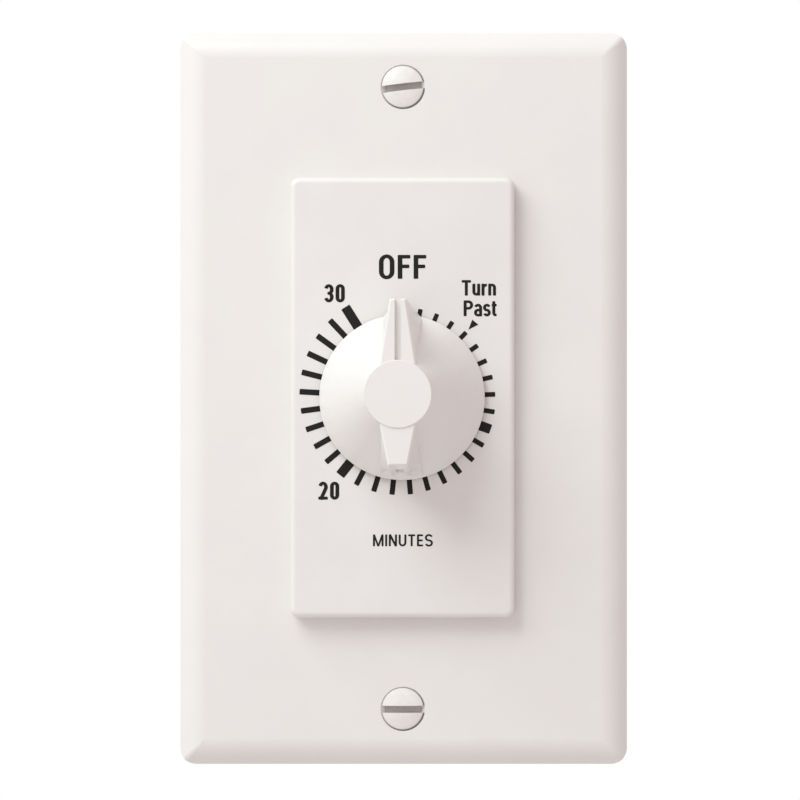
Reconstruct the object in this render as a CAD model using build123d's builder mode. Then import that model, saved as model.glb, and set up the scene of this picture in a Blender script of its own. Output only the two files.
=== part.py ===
from build123d import *
import os
from math import cos, radians, sin, tan

os.makedirs("parts", exist_ok=True)

# Spring-wound timer switch for a single-gang wall box, in millimetres.
# X runs right, Z up, and the front faces -Y. The origin is on the wall plane, midway between the box
# screws. A height is a distance in front of the wall plane, and is negative inside the wall.

# Fits that several pieces share
overrun = 1.0
face_gap = 0.1
running_gap = 0.05
thread_gap = 0.05
moulding_gap = 0.2
hole_gap = 0.25

# Wall plate
plate_width = 69.85
plate_height = 114.3
plate_depth = 6.0
plate_face = 2.0
plate_rim = 1.8
plate_corner = 2.7
plate_corner_break = 0.02
bevel_width = 4.0
bevel_drop = 2.2
mitre_round = 0.9
ledge_width = 1.65
ledge_height = 3.4
opening_corner = 1.2
plate_rib = 1.2
plate_screw_spacing = 96.84

# Plate screws, with an oval head of the usual 82 degree cone
screw_cone = 82
plate_screw_radius = 1.7
plate_screw_head = 3.36
plate_screw_crown = 0.62
plate_screw_reach = 4.0
sink_radius = 3.52
plate_slot_width = 1.1
plate_slot_depth = 1.25
top_slot_turn = 6.7
bottom_slot_turn = 0.0

# Mounting strap
strap_thickness = 1.2
strap_height = 104.8
strap_body_width = 44.4
strap_body_height = 77.6
strap_neck_width = 18.0
ear_width = 38.0
ear_height = 8.0
strap_corner = 2.0
window_width = 30.0
window_height = 60.0
ear_notch_width = 1.6
ear_notch_depth = 3.4
box_screw_spacing = 83.34
box_slot_length = 6.6
box_slot_width = 4.2

# Box screws
box_screw_radius = 1.75
box_neck_radius = 1.45
box_head_radius = 3.3
box_head_side = 1.1
box_head_crown = 0.8
box_screw_length = 20.0
box_screw_point = 0.8
box_driver_width = 1.0
box_driver_depth = 0.9

# Ground screw
ground_x = 18.4
ground_z = -35.8
ground_head_radius = 3.3
ground_head_height = 2.4
ground_head_sides = 6
ground_screw_radius = 1.95
ground_screw_reach = 1.8
ground_slot_width = 1.0
ground_slot_depth = 0.9

# Dial plate
lap_width = 0.7
lap_height = 0.65
dial_front = 9.0
dial_face = 2.0
dial_edge = 0.86
dial_corner = 1.35
skirt_wall = 1.5
hub_boss_radius = 5.6
hub_boss_depth = 2.2
leg_thickness = 1.2
leg_width = 6.0
leg_spacing = 36.0
leg_root = 2.6
leg_bite = 0.6
catch_width = 0.9
catch_height = 1.3

# Knob
knob_lift = 0.4
knob_radius = 12.75
knob_rim = 0.8
knob_height = 16.8
knob_wall = 1.7
knob_hub_radius = 4.9
knob_edge = 0.25
flank_shares = (0, 0.25, 0.5, 0.75, 1)
cone_top_radius = 5.3
cone_top_drop = 1.0
cone_sag = 0.55
disc_radius = 4.97
disc_rise = 0.2
groove_width = 0.96
groove_depth = 0.8
groove_start = 5.1
pointer_tip = 14.2
pointer_foot_tip = 14.6
pointer_tip_width = 2.44
pointer_foot_width = 2.0
shoulder_top = 12.6
shoulder_foot = 12.15
shoulder_foot_width = 6.18
waist = 4.6
waist_width = 5.4
waist_foot_width = 6.3
tail_waist = -3.96
tail_waist_width = 5.62
tail_foot_width = 6.6
tail_tip = -10.6
tail_foot_tip = -12.2
tail_tip_width = 2.96
recess_width = 1.25
recess_height = 4.8
recess_depth = 0.7
knob_bore_depth = 12.3
cavity_share = 0.62

# Winding arbor
arbor_radius = 3.0
arbor_flat = 2.1
arbor_flat_foot = 0.2
arbor_top_gap = 0.2
collar_radius = 3.9
collar_height = 0.6
spring_hub_radius = 2.6
rear_journal_radius = 2.0
rear_flat = 1.4
arbor_tail = 6.2
arbor_chamfer = 0.5
clip_groove_radius = 2.4
clip_thickness = 0.6
clip_radius = 4.6
clip_mouth = 3.6

# Knob spring clip
leaf_thickness = 0.3
leaf_width = 3.0
leaf_bow = 0.12
bore_flat_gap = 0.7

# Rear case
case_width = 42.5
case_height = 64.0
case_depth = 34.0
case_wall = 1.8
case_corner = 2.5
case_back_edge = 1.0
lug_width = 29.0
lug_height = 5.6
lug_thickness = 5.0
lug_corner = 1.5
post_x = 17.0
post_z = 27.8
post_radius = 2.5
case_screw_x = 12.0
case_screw_z = 35.4
case_screw_radius = 1.2
case_screw_head = 1.8
case_screw_side = 0.7
case_screw_crown = 0.5
small_driver_width = 0.6
small_driver_depth = 0.6
crown_flat_share = 0.6

# Movement frame
movement_front = 2.0
movement_plate = 1.2
switch_depth = 9.8
front_plate_width = 38.0
front_plate_height = 59.6
rear_plate_width = 36.8
rear_plate_height = 49.2
movement_corner = 1.5
pillar_x = 16.8
pillar_z = 20.5
pillar_radius = 1.75
tenon_radius = 1.0
movement_screw_radius = 1.2
movement_screw_head = 2.1
movement_screw_side = 0.7
movement_screw_crown = 0.5
movement_screw_length = 9.0

# Mainspring
spring_post_distance = 14.2
spring_post_angle = 135
spring_post_radius = 1.3
spring_turns = 5
spring_strip = 0.4
spring_gap = 0.75
spring_steps = 12

# Ratchet, great wheel and click
ratchet_teeth = 12
ratchet_tip = 6.0
ratchet_root = 5.0
ratchet_thickness = 1.2
ratchet_turn = 20
great_wheel_gap = 0.4
wheel_thickness = 1.2
click_distance = 9.0
click_turn = 55
click_thickness = 1.0
click_eye = 1.6
click_gap = 0.3
click_lead = 3
click_back_turn = 46
click_rivet_distance = 10.0
click_rivet_turn = 35
click_rivet_radius = 0.8
click_rivet_head = 1.2
click_rivet_rise = 0.5
click_spring_strip = 0.3
click_spring_width = 0.8
click_spring_bend = 8.6
click_spring_touch = 7.3
click_spring_lead = 12

# Going train: pinions of eight leaves drive on to wheels of forty-eight teeth
wheel_teeth = 48
pinion_leaves = 8
great_module = 0.5
second_module = 0.35
third_module = 0.3
wheel_shares = {"addendum": 0.95, "dedendum": 1.15, "root": 0.58, "tip": 0.16}
pinion_shares = {"addendum": 0.55, "dedendum": 1.3, "root": 0.34, "tip": 0.22}
second_angle = -125
third_angle = -35
escape_angle = -40
verge_angle = 20
second_arbor_radius = 1.0
third_arbor_radius = 0.8
escape_arbor_radius = 0.7
pivot_radius = 0.5
end_shake = 0.1
pinion_gap = 0.2
rear_pinion_gap = 0.6
train_wheel_thickness = 1.0
collet_radius = 1.9
collet_height = 0.8
press_gap = 0.02
pinion_overlap = 0.7
lightening_holes = 5
hole_orbit_share = 0.58
hole_radius_share = 0.19

# Escapement: a pointed wheel and a verge with two pins
escape_teeth = 15
escape_radius = 5.0
escape_root = 3.6
escape_tip_share = 0.05
escape_root_share = 0.42
escape_drop = 5.8
verge_distance = 7.0
verge_pin_radius = 0.3
verge_pin_clear = 0.15
verge_pin_angle = 30
verge_staff_radius = 0.6
verge_pivot_radius = 0.35
verge_drop = 8.0
verge_thickness = 1.0
verge_hub_radius = 1.5
verge_pad_radius = 0.75
bar_drop = 10.2
bar_thickness = 1.2
bar_width = 1.6
bar_length = 10.0
bar_weight_radius = 1.3

# Switch
cam_drop = 1.6
cam_thickness = 3.4
cam_radius = 8.5
cam_notch_depth = 2.2
cam_notch_width = 6.4
cam_boss_radius = 3.6
blade_thickness = 0.4
blade_width = 3.0
blade_height = 11.0
blade_tip_x = 12.0
nose_drop = 3.7
nose_width = 5.0
contact_x = 10.4
contact_radius = 1.5
contact_thickness = 0.9
contact_gap = 1.2
block_width = 6.0
block_height = 6.0
block_depth = 5.4
block_inset = 0.85
block_screw_radius = 0.9
block_screw_head = 1.4
block_screw_side = 0.6
block_screw_crown = 0.4
block_screw_spacing = 3.4
block_screw_foot = 1.8
blade_screw_radius = 0.8
blade_screw_head = 1.4
blade_screw_side = 0.6
blade_screw_crown = 0.4
blade_screw_depth = 2.8

# Terminals
terminal_thickness = 0.8
terminal_width = 5.0
pad_height = 8.8
pad_width = 8.0
terminal_screw_radius = 1.7
terminal_screw_head = 3.4
terminal_screw_side = 1.3
terminal_screw_crown = 0.5
terminal_driver_width = 1.0
terminal_driver_depth = 1.0

# Sizes that follow from the ones above
opening_width = window_width + 2 * ledge_width
opening_height = window_height + 2 * ledge_height
dial_width = opening_width + 2 * lap_width
dial_height = opening_height + 2 * lap_height
plate_spacing = case_depth - case_wall - movement_front - 2 * movement_plate - switch_depth
third_wheel_drop = plate_spacing - train_wheel_thickness - pinion_overlap - rear_pinion_gap
wheel_step = train_wheel_thickness + pinion_overlap + collet_height + pinion_gap
second_wheel_drop = third_wheel_drop - wheel_step

# Heights that follow
plate_inner = plate_depth - plate_face
dial_back = plate_depth + face_gap
skirt_foot = strap_thickness + moulding_gap
knob_foot = dial_front + knob_lift
bar_top = knob_foot + knob_height - disc_rise
disc_top = knob_foot + knob_height
rim_top = knob_foot + knob_rim
cone_top = disc_top - cone_top_drop
front_plate_back = -movement_front - movement_plate
rear_plate_front = front_plate_back - plate_spacing
rear_plate_back = rear_plate_front - movement_plate
second_wheel_front = front_plate_back - second_wheel_drop
third_wheel_front = front_plate_back - third_wheel_drop
case_floor = case_wall - case_depth


def outward(x, z, height, turn=0):
    """Plane at a place on the wall, facing the room, with its X axis turned from level."""
    level = (cos(radians(turn)), 0, sin(radians(turn)))
    return Plane(origin=(x, -height, z), x_dir=level, z_dir=(0, -1, 0))


def facing(height):
    """Plane parallel to the wall at this height."""
    return outward(0, 0, height)


def section_of(seat):
    """Plane through the seat's axis: X is the radius, and Y is the height above the seat."""
    return Plane(origin=seat.origin, x_dir=seat.x_dir, z_dir=-seat.y_dir)


def axis_of(seat):
    """The line through the seat, square to it."""
    return Axis(seat.origin, seat.z_dir)


def polar(distance, angle, start=(0, 0)):
    """Place at this distance and angle from a start, with the angle anticlockwise from the right."""
    return (start[0] + distance * cos(radians(angle)), start[1] + distance * sin(radians(angle)))


def mirrored(points):
    """A half outline on the right, closed by its mirror image on the left."""
    return points + [(-x, z) for x, z in reversed(points)]


def toothed(teeth, root, tip, root_share, tip_share, turn):
    """Outline of a wheel whose teeth have straight flanks, with one tooth at the turn angle."""
    half_pitch = 180 / teeth
    corners = ((root, -root_share), (tip, -tip_share), (tip, tip_share), (root, root_share))
    return [
        polar(radius, turn + (2 * tooth + share) * half_pitch)
        for tooth in range(teeth)
        for radius, share in corners
    ]


def gear_outline(teeth, module, shares, turn):
    """Outline of a wheel or a pinion about its own centre."""
    pitch_radius = module * teeth / 2
    root = pitch_radius - module * shares["dedendum"]
    tip = pitch_radius + module * shares["addendum"]
    return toothed(teeth, root, tip, shares["root"], shares["tip"], turn)


def turned(seat, outline):
    """Solid turned about the seat's axis from an outline of radii and heights."""
    with BuildPart() as piece:
        with BuildSketch(section_of(seat)):
            with BuildLine():
                Polyline(*outline, close=True)
            make_face()
        revolve(axis=axis_of(seat))
    return piece.part


def slotted_screw(seat, outline, crown, driver_width, driver_depth, domed=False):
    """Screw about the seat's axis. The outline runs from the tip to the rim under the crown."""
    rim_radius, rim_height = outline[-1]
    top = rim_height + crown
    with BuildPart() as piece:
        with BuildSketch(section_of(seat)):
            with BuildLine():
                Polyline(*outline)
                if domed:
                    TangentArc((0, top), outline[-1], tangent=(1, 0))
                else:
                    Polyline(outline[-1], (crown_flat_share * rim_radius, top), (0, top))
                Line((0, top), outline[0])
            make_face()
        revolve(axis=axis_of(seat))
        with BuildSketch(seat.offset(top - driver_depth)):
            Rectangle(2 * rim_radius + overrun, driver_width)
        extrude(amount=driver_depth + overrun, mode=Mode.SUBTRACT)
    return piece.part


def corner_places(x, z):
    """The four places at these distances from the middle."""
    return [(x, z), (-x, z), (-x, -z), (x, -z)]


# Wall plate: square back, flat front, and a long arc down to each edge that mitres at the corners
with BuildPart() as wall_plate:
    along_z = Plane(origin=(0, 0, 0), x_dir=(0, 0, 1), z_dir=(1, 0, 0))
    sections = (
        (section_of(facing(0)), plate_width / 2, plate_height, Mode.ADD),
        (along_z, plate_height / 2, plate_width, Mode.INTERSECT),
    )
    for section, half, length, mode in sections:
        with BuildSketch(section):
            with BuildLine():
                Polyline((0, 0), (half, 0), (half, plate_depth - bevel_drop))
                TangentArc(
                    (half - bevel_width, plate_depth), (half, plate_depth - bevel_drop), tangent=(1, 0)
                )
                Line((half - bevel_width, plate_depth), (0, plate_depth))
                mirror(about=Plane.YZ)
            make_face()
        extrude(amount=length / 2, both=True, mode=mode)
    mitres = wall_plate.edges().filter_by(GeomType.LINE, reverse=True)
    fillet(mitres, radius=mitre_round)
    # the corners' rounding meets the sides at a slight angle
    with BuildSketch(facing(0)):
        RectangleRounded(
            plate_width + 2 * plate_corner_break, plate_height + 2 * plate_corner_break, plate_corner
        )
    extrude(amount=plate_depth, mode=Mode.INTERSECT)
    # hollow back, with a rib along each side of the opening
    hollow_width = plate_width - 2 * plate_rim
    hollow_height = plate_height - 2 * plate_rim
    with BuildSketch(facing(0)):
        RectangleRounded(hollow_width, hollow_height, plate_corner - plate_rim)
    extrude(amount=plate_inner, mode=Mode.SUBTRACT)
    with BuildSketch(facing(skirt_foot)):
        with Locations(((opening_width + plate_rib) / 2, 0), (-(opening_width + plate_rib) / 2, 0)):
            Rectangle(plate_rib, opening_height)
    extrude(amount=plate_inner - skirt_foot)
    with BuildSketch(facing(0)):
        RectangleRounded(opening_width, opening_height, opening_corner)
    extrude(amount=plate_depth + overrun, mode=Mode.SUBTRACT)
    with Locations(facing(plate_depth)):
        with Locations((0, plate_screw_spacing / 2), (0, -plate_screw_spacing / 2)):
            CounterSinkHole(plate_screw_radius + hole_gap, sink_radius, counter_sink_angle=screw_cone)
wall_plate.part.label = "wall_plate"
export_step(wall_plate.part, "parts/wall_plate.step")

# Plate screws: the head's cone sits in the plate's countersink, and the shank in the strap's thread
cone_slope = tan(radians(screw_cone / 2))
head_rim = plate_depth - (sink_radius - plate_screw_head) / cone_slope + face_gap
cone_foot = head_rim - (plate_screw_head - plate_screw_radius) / cone_slope
for screw_name, side, slot_turn in (
    ("plate_screw_top", 1, top_slot_turn),
    ("plate_screw_bottom", -1, bottom_slot_turn),
):
    plate_screw = slotted_screw(
        outward(0, side * plate_screw_spacing / 2, 0, slot_turn),
        [
            (0, -plate_screw_reach),
            (plate_screw_radius, -plate_screw_reach),
            (plate_screw_radius, cone_foot),
            (plate_screw_head, head_rim),
        ],
        plate_screw_crown,
        plate_slot_width,
        plate_slot_depth,
        domed=True,
    )
    plate_screw.label = screw_name
    export_step(plate_screw, f"parts/{screw_name}.step")

# Mounting strap: body round the case, a neck at each end, and plaster ears that break off at notches
ear_middle = (strap_height - ear_height) / 2
with BuildPart() as mounting_strap:
    with BuildSketch(facing(0)) as strap_outline:
        Rectangle(strap_body_width, strap_body_height)
        Rectangle(strap_neck_width, strap_height)
        with Locations((0, ear_middle), (0, -ear_middle)):
            Rectangle(ear_width, ear_height)
        fillet(strap_outline.vertices(), radius=strap_corner)
        notch_x = (strap_neck_width + ear_notch_width) / 2
        with Locations(*corner_places(notch_x, strap_height / 2)):
            Rectangle(ear_notch_width, 2 * ear_notch_depth, mode=Mode.SUBTRACT)
        RectangleRounded(window_width, window_height, strap_corner, mode=Mode.SUBTRACT)
        with Locations((0, box_screw_spacing / 2), (0, -box_screw_spacing / 2)):
            SlotOverall(box_slot_length, box_slot_width, mode=Mode.SUBTRACT)
        with Locations((0, plate_screw_spacing / 2), (0, -plate_screw_spacing / 2)):
            Circle(plate_screw_radius + thread_gap, mode=Mode.SUBTRACT)
        with Locations(*corner_places(case_screw_x, case_screw_z)):
            Circle(case_screw_radius + hole_gap, mode=Mode.SUBTRACT)
        with Locations((ground_x, ground_z)):
            Circle(ground_screw_radius + thread_gap, mode=Mode.SUBTRACT)
    extrude(amount=strap_thickness)
mounting_strap.part.label = "mounting_strap"
export_step(mounting_strap.part, "parts/mounting_strap.step")

# Box screws: a necked shank hangs in the strap's slot, and the thread runs into the box's ear
box_head_foot = strap_thickness + face_gap
box_screws = Compound(
    children=[
        slotted_screw(
            outward(0, side * box_screw_spacing / 2, 0),
            [
                (0, -box_screw_length),
                (box_screw_radius - box_screw_point, -box_screw_length),
                (box_screw_radius, -box_screw_length + box_screw_point),
                (box_screw_radius, 0),
                (box_neck_radius, 0),
                (box_neck_radius, box_head_foot),
                (box_head_radius, box_head_foot),
                (box_head_radius, box_head_foot + box_head_side),
            ],
            box_head_crown,
            box_driver_width,
            box_driver_depth,
        )
        for side in (1, -1)
    ]
)
box_screws.label = "box_screws"
export_step(box_screws, "parts/box_screws.step")

# Ground screw: its hexagonal head is behind the strap, where the bare wire goes round it
with BuildPart() as ground_screw:
    with BuildSketch(outward(ground_x, ground_z, -face_gap)):
        RegularPolygon(ground_head_radius, ground_head_sides)
    extrude(amount=-ground_head_height)
    with BuildSketch(outward(ground_x, ground_z, -face_gap)):
        Circle(ground_screw_radius)
    extrude(amount=face_gap + strap_thickness + ground_screw_reach)
    with BuildSketch(outward(ground_x, ground_z, -face_gap - ground_head_height)):
        Rectangle(2 * ground_head_radius + overrun, ground_slot_width)
    extrude(amount=ground_slot_depth, mode=Mode.SUBTRACT)
ground_screw.part.label = "ground_screw"
export_step(ground_screw.part, "parts/ground_screw.step")

# Dial plate: a raised face over the plate's opening, a skirt down to the strap, and four snap legs
skirt_width = opening_width - 2 * moulding_gap
skirt_height = opening_height - 2 * moulding_gap
skirt_inner = skirt_width / 2 - skirt_wall
dial_inner = dial_front - dial_face
leg_outer = window_width / 2 - moulding_gap
catch_top = -moulding_gap
leg_foot = catch_top - catch_height
with BuildPart() as dial_plate:
    with BuildSketch(facing(dial_back)):
        RectangleRounded(dial_width, dial_height, dial_corner)
    extrude(amount=dial_front - dial_back)
    fillet(dial_plate.faces().sort_by(Axis.Y)[0].edges(), radius=dial_edge)
    with BuildSketch(facing(skirt_foot)):
        RectangleRounded(skirt_width, skirt_height, opening_corner)
    extrude(amount=dial_back - skirt_foot)
    with BuildSketch(facing(skirt_foot)):
        Rectangle(2 * skirt_inner, skirt_height - 2 * skirt_wall)
    extrude(amount=dial_inner - skirt_foot, mode=Mode.SUBTRACT)
    with BuildSketch(facing(dial_inner - hub_boss_depth)):
        Circle(hub_boss_radius)
    extrude(amount=hub_boss_depth)
    with BuildSketch(facing(dial_inner - hub_boss_depth)):
        Circle(arbor_radius + hole_gap)
    extrude(amount=dial_face + hub_boss_depth, mode=Mode.SUBTRACT)
    for leg_z in (leg_spacing / 2, -leg_spacing / 2):
        leg_section = section_of(outward(0, leg_z, 0))
        for side in (1, -1):
            with BuildSketch(leg_section):
                Polygon(
                    (side * (leg_outer - leg_thickness), skirt_foot + leg_root),
                    (side * (skirt_inner + leg_bite), skirt_foot + leg_root),
                    (side * (skirt_inner + leg_bite), skirt_foot),
                    (side * leg_outer, skirt_foot),
                    (side * leg_outer, catch_top),
                    (side * (leg_outer + catch_width), catch_top),
                    (side * leg_outer, leg_foot),
                    (side * (leg_outer - leg_thickness), leg_foot),
                    align=None,
                )
            extrude(amount=leg_width / 2, both=True)
dial_plate.part.label = "dial_plate"
export_step(dial_plate.part, "parts/dial_plate.step")

# Knob: a tapered cap with a disc on top, a grooved pointer that overhangs its rim, and a short tail
shoulder_share = (pointer_tip - shoulder_top) / (pointer_tip - waist)
shoulder_top_width = pointer_tip_width + shoulder_share * (waist_width - pointer_tip_width)
handle_top = mirrored(
    [
        (pointer_tip_width / 2, pointer_tip),
        (shoulder_top_width / 2, shoulder_top),
        (waist_width / 2, waist),
        (tail_waist_width / 2, tail_waist),
        (tail_tip_width / 2, tail_tip),
    ]
)
handle_foot = mirrored(
    [
        (pointer_foot_width / 2, pointer_foot_tip),
        (shoulder_foot_width / 2, shoulder_foot),
        (waist_foot_width / 2, waist),
        (tail_foot_width / 2, tail_waist),
        (tail_foot_width / 2, tail_foot_tip),
    ]
)
knob_flank = [
    (
        knob_radius - share * (knob_radius - cone_top_radius) - 4 * cone_sag * share * (1 - share),
        rim_top + share * (cone_top - rim_top),
    )
    for share in flank_shares
]
bore_top = knob_foot + knob_bore_depth
bore_radius = arbor_radius + running_gap
bore_flat = arbor_flat + bore_flat_gap
cavity_top = knob_foot + cavity_share * knob_height
cavity_top_radius = knob_radius - cavity_share * (knob_radius - cone_top_radius) - knob_wall
with BuildPart() as knob_handle:
    with BuildSketch(facing(rim_top)):
        Polygon(*handle_foot, align=None)
    with BuildSketch(facing(bar_top - knob_edge)):
        Polygon(*handle_top, align=None)
    with BuildSketch(facing(bar_top)):
        Polygon(*handle_top, align=None)
        offset(amount=-knob_edge, kind=Kind.INTERSECTION)
    loft(ruled=True)
with BuildPart() as timer_knob:
    with BuildSketch(section_of(facing(0))):
        Polygon(
            (0, knob_foot),
            (knob_radius, knob_foot),
            *knob_flank,
            (disc_radius, disc_top),
            (0, disc_top),
            align=None,
        )
    revolve(axis=Axis.Y)
    add(knob_handle.part)
    # groove along the pointer, open at its tip
    with BuildSketch(facing(bar_top - groove_depth)):
        with Locations((0, groove_start)):
            Rectangle(groove_width, pointer_foot_tip, align=(Align.CENTER, Align.MIN))
    extrude(amount=groove_depth + overrun, mode=Mode.SUBTRACT)
    # small recess in the end of the tail
    with BuildSketch(section_of(outward(0, (tail_tip + tail_foot_tip) / 2 + recess_depth, 0))):
        with Locations((0, (rim_top + bar_top) / 2)):
            Rectangle(recess_width, recess_height)
    extrude(amount=-tail_foot_tip, mode=Mode.SUBTRACT)
    # hollow underneath, round the hub
    with BuildSketch(section_of(facing(0))):
        Polygon(
            (knob_hub_radius, knob_foot - overrun),
            (knob_radius - knob_wall, knob_foot - overrun),
            (knob_radius - knob_wall, rim_top),
            (cavity_top_radius, cavity_top),
            (knob_hub_radius, cavity_top),
            align=None,
        )
    revolve(axis=Axis.Y, mode=Mode.SUBTRACT)
    with BuildSketch(facing(knob_foot)):
        Circle(bore_radius)
        with Locations((0, bore_flat)):
            Rectangle(
                2 * bore_radius, 2 * bore_radius, align=(Align.CENTER, Align.MAX), mode=Mode.INTERSECT
            )
    extrude(amount=knob_bore_depth, mode=Mode.SUBTRACT)
timer_knob.part.label = "timer_knob"
export_step(timer_knob.part, "parts/timer_knob.step")

# Knob spring clip: a bowed steel leaf that presses on the arbor's flat inside the knob's bore
arbor_top = bore_top - arbor_top_gap
clip_foot = knob_foot + knob_lift
clip_middle = (clip_foot + arbor_top) / 2
leaf_middle = arbor_flat + face_gap
leaf_end = leaf_middle + leaf_bow
with BuildPart() as knob_spring_clip:
    with BuildSketch(along_z):
        with BuildLine():
            ThreePointArc((leaf_end, clip_foot), (leaf_middle, clip_middle), (leaf_end, arbor_top))
            Line((leaf_end, arbor_top), (leaf_end + leaf_thickness, arbor_top))
            ThreePointArc(
                (leaf_end + leaf_thickness, arbor_top),
                (leaf_middle + leaf_thickness, clip_middle),
                (leaf_end + leaf_thickness, clip_foot),
            )
            Line((leaf_end + leaf_thickness, clip_foot), (leaf_end, clip_foot))
        make_face()
    extrude(amount=leaf_width / 2, both=True)
knob_spring_clip.part.label = "knob_spring_clip"
export_step(knob_spring_clip.part, "parts/knob_spring_clip.step")

# Winding arbor: journals in both plates, a shoulder behind the front plate, and a flat at each end
clip_back = -movement_front + face_gap
collar_top = front_plate_back - end_shake
ratchet_front = collar_top - collar_height
ratchet_back = ratchet_front - ratchet_thickness
great_front = ratchet_back - great_wheel_gap
great_back = great_front - wheel_thickness
cam_front = rear_plate_back - cam_drop
arbor_end = rear_plate_back - arbor_tail
with BuildPart() as winding_arbor:
    add(
        turned(
            facing(0),
            [
                (0, arbor_top),
                (arbor_radius - arbor_chamfer, arbor_top),
                (arbor_radius, arbor_top - arbor_chamfer),
                (arbor_radius, clip_back + clip_thickness + running_gap),
                (clip_groove_radius, clip_back + clip_thickness + running_gap),
                (clip_groove_radius, clip_back - running_gap),
                (arbor_radius, clip_back - running_gap),
                (arbor_radius, collar_top),
                (collar_radius, collar_top),
                (collar_radius, ratchet_front),
                (arbor_radius, ratchet_front),
                (arbor_radius, great_back),
                (spring_hub_radius, great_back),
                (spring_hub_radius, rear_plate_front + end_shake),
                (rear_journal_radius, rear_plate_front + end_shake),
                (rear_journal_radius, arbor_end),
                (0, arbor_end),
            ],
        )
    )
    with BuildSketch(facing(knob_foot - arbor_flat_foot)):
        with Locations((0, arbor_flat)):
            Rectangle(2 * arbor_radius, arbor_radius, align=(Align.CENTER, Align.MIN))
    extrude(amount=knob_bore_depth + overrun, mode=Mode.SUBTRACT)
    with BuildSketch(facing(cam_front)):
        with Locations((0, rear_flat)):
            Rectangle(2 * arbor_radius, arbor_radius, align=(Align.CENTER, Align.MIN))
    extrude(amount=arbor_end - cam_front - overrun, mode=Mode.SUBTRACT)
winding_arbor.part.label = "winding_arbor"
export_step(winding_arbor.part, "parts/winding_arbor.step")

# Arbor clip: an open ring in the arbor's groove, in front of the front plate
with BuildPart() as arbor_clip:
    with BuildSketch(facing(clip_back)):
        Circle(clip_radius)
        Circle(clip_groove_radius + running_gap, mode=Mode.SUBTRACT)
        Rectangle(clip_mouth, 2 * clip_radius, align=(Align.CENTER, Align.MAX), mode=Mode.SUBTRACT)
    extrude(amount=clip_thickness)
arbor_clip.part.label = "arbor_clip"
export_step(arbor_clip.part, "parts/arbor_clip.step")

# Places of the train's arbors
second_place = polar(great_module * (wheel_teeth + pinion_leaves) / 2, second_angle)
third_place = polar(second_module * (wheel_teeth + pinion_leaves) / 2, third_angle, second_place)
escape_place = polar(third_module * (wheel_teeth + pinion_leaves) / 2, escape_angle, third_place)
verge_place = polar(verge_distance, verge_angle, escape_place)
post_place = polar(spring_post_distance, spring_post_angle)
pillar_places = corner_places(pillar_x, pillar_z)
screw_places = corner_places(post_x, post_z)
block_x = -case_width / 2 + case_wall + block_inset + block_width / 2
block_top = blade_height - blade_thickness / 2
block_screw_z = block_top - block_height + block_screw_foot
block_screw_places = [
    (block_x - block_screw_spacing / 2, block_screw_z),
    (block_x + block_screw_spacing / 2, block_screw_z),
]

# Movement plates: the front one reaches the case's posts, and the rear one hangs on the pillars
with BuildPart() as front_movement_plate:
    with BuildSketch(facing(front_plate_back)):
        RectangleRounded(front_plate_width, front_plate_height, movement_corner)
        Circle(arbor_radius + running_gap, mode=Mode.SUBTRACT)
        with Locations(*pillar_places, post_place):
            Circle(tenon_radius + running_gap, mode=Mode.SUBTRACT)
        with Locations(*screw_places):
            Circle(movement_screw_radius + hole_gap, mode=Mode.SUBTRACT)
        with Locations(second_place, third_place, escape_place):
            Circle(pivot_radius + running_gap, mode=Mode.SUBTRACT)
        with Locations(verge_place):
            Circle(verge_pivot_radius + running_gap, mode=Mode.SUBTRACT)
    extrude(amount=movement_plate)
front_movement_plate.part.label = "front_movement_plate"
export_step(front_movement_plate.part, "parts/front_movement_plate.step")

with BuildPart() as rear_movement_plate:
    with BuildSketch(facing(rear_plate_back)):
        RectangleRounded(rear_plate_width, rear_plate_height, movement_corner)
        Circle(rear_journal_radius + running_gap, mode=Mode.SUBTRACT)
        with Locations(*pillar_places, post_place):
            Circle(tenon_radius + running_gap, mode=Mode.SUBTRACT)
        with Locations(second_place, third_place, escape_place):
            Circle(pivot_radius + running_gap, mode=Mode.SUBTRACT)
        with Locations(verge_place):
            Circle(verge_pivot_radius + running_gap, mode=Mode.SUBTRACT)
        with Locations(*block_screw_places):
            Circle(block_screw_radius + thread_gap, mode=Mode.SUBTRACT)
    extrude(amount=movement_plate)
rear_movement_plate.part.label = "rear_movement_plate"
export_step(rear_movement_plate.part, "parts/rear_movement_plate.step")


def pillar(place, radius):
    """Pillar between the plates, with a tenon riveted through each of them."""
    return turned(
        outward(*place, rear_plate_front),
        [
            (0, -movement_plate),
            (tenon_radius, -movement_plate),
            (tenon_radius, 0),
            (radius, 0),
            (radius, plate_spacing),
            (tenon_radius, plate_spacing),
            (tenon_radius, plate_spacing + movement_plate),
            (0, plate_spacing + movement_plate),
        ],
    )


movement_pillars = Compound(children=[pillar(place, pillar_radius) for place in pillar_places])
movement_pillars.label = "movement_pillars"
export_step(movement_pillars, "parts/movement_pillars.step")

spring_post = pillar(post_place, spring_post_radius)
spring_post.label = "spring_post"
export_step(spring_post, "parts/spring_post.step")


def pan_screw(seat, length, radius, head, side, crown):
    """Small pan-head screw whose head sits on the seat."""
    return slotted_screw(
        seat,
        [(0, -length), (radius, -length), (radius, 0), (head, 0), (head, side)],
        crown,
        small_driver_width,
        small_driver_depth,
    )


movement_screws = Compound(
    children=[
        pan_screw(
            outward(*place, -movement_front + face_gap),
            movement_screw_length,
            movement_screw_radius,
            movement_screw_head,
            movement_screw_side,
            movement_screw_crown,
        )
        for place in screw_places
    ]
)
movement_screws.label = "movement_screws"
export_step(movement_screws, "parts/movement_screws.step")

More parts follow.
